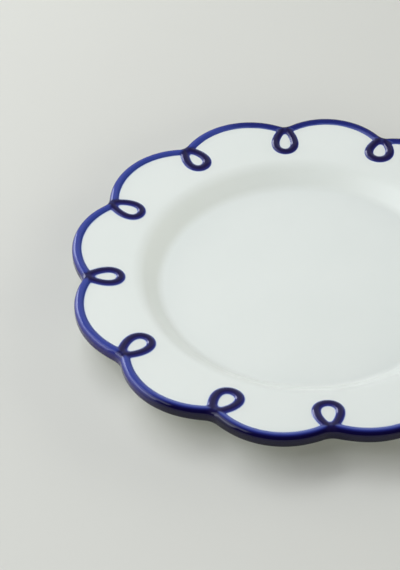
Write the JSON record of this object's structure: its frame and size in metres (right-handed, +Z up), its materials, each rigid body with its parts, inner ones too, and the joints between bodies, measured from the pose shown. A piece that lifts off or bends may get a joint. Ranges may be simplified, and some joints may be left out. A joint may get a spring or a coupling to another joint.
{
  "type": "cake plate",
  "caption": "White glazed cake plate with a scalloped rim, a shallow round well and a raised cobalt cord that follows the edge and curls into a loop at each notch.",
  "frame": {"origin": "on the table under the plate's axis, in the plane of the foot ring's standing face", "axes": "+Z up along the plate's axis; -Y is the side of the picture, about 11 degrees off it"},
  "size_m": [0.22, 0.22, 0.0197],
  "materials": {
    "white_glaze": "smooth glossy white glaze",
    "cobalt_glaze": "glossy cobalt blue glaze over a raised cord",
    "bare_clay": "bare fired clay, wiped free of glaze"
  },
  "bodies": {
    "root": {"plate_body": "white_glaze", "foot_ring": "bare_clay", "edge_cord_01": "cobalt_glaze", "edge_cord_02": "cobalt_glaze", "edge_cord_03": "cobalt_glaze", "edge_cord_04": "cobalt_glaze", "edge_cord_05": "cobalt_glaze", "edge_cord_06": "cobalt_glaze", "edge_cord_07": "cobalt_glaze", "edge_cord_08": "cobalt_glaze", "edge_cord_09": "cobalt_glaze", "edge_cord_10": "cobalt_glaze", "edge_cord_11": "cobalt_glaze", "edge_cord_12": "cobalt_glaze", "loop_01": "cobalt_glaze", "loop_02": "cobalt_glaze", "loop_03": "cobalt_glaze", "loop_04": "cobalt_glaze", "loop_05": "cobalt_glaze", "loop_06": "cobalt_glaze", "loop_07": "cobalt_glaze", "loop_08": "cobalt_glaze", "loop_09": "cobalt_glaze", "loop_10": "cobalt_glaze", "loop_11": "cobalt_glaze", "loop_12": "cobalt_glaze"}
  },
  "joints": []
}
